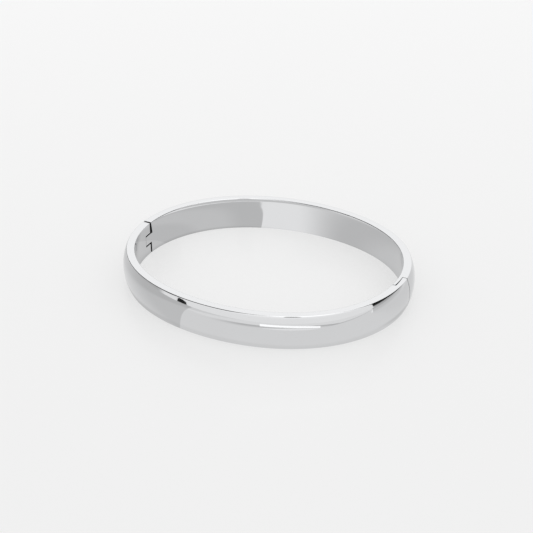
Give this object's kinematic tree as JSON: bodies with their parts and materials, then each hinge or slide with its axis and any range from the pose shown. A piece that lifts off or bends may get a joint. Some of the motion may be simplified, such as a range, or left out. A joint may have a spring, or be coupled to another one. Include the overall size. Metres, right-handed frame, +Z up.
{
  "type": "bangle bracelet",
  "caption": "Oval hinged bangle of domed polished steel; half the band swings out on an end hinge and snaps shut at a lapped ball catch.",
  "frame": {"origin": "middle of the oval, on the flat bottom rim that the closed bangle rests on", "axes": "+X along the oval's long axis from the hinge to the catch, +Y across the oval towards the half that swings, +Z up across the width of the band"},
  "size_m": [0.0652, 0.0554, 0.0076],
  "materials": {
    "polished_steel": "mirror-polished stainless steel",
    "pin_steel": "ground stainless pin",
    "ball_steel": "hardened polished ball",
    "spring_steel": "drawn spring wire"
  },
  "bodies": {
    "front": {"front_half": "polished_steel", "hinge_pin": "pin_steel", "catch_spring": "spring_steel"},
    "back": {"back_half": "polished_steel"},
    "ball": {"catch_ball": "ball_steel"}
  },
  "joints": [
    {"name": "hinge", "type": "hinge", "parent": "front", "child": "back", "pos_m": [-0.03105, -0.00151, 0], "axis": [0, 0, 1], "range_deg": [0, 40]},
    {"name": "catch_ball_press", "type": "slide", "parent": "front", "child": "ball", "axis": [1, 0, 0], "range_m": [0, 0.00015], "stiffness_N_per_m": 400, "springref_m": -0.0002, "deforming": ["catch_spring"]}
  ]
}
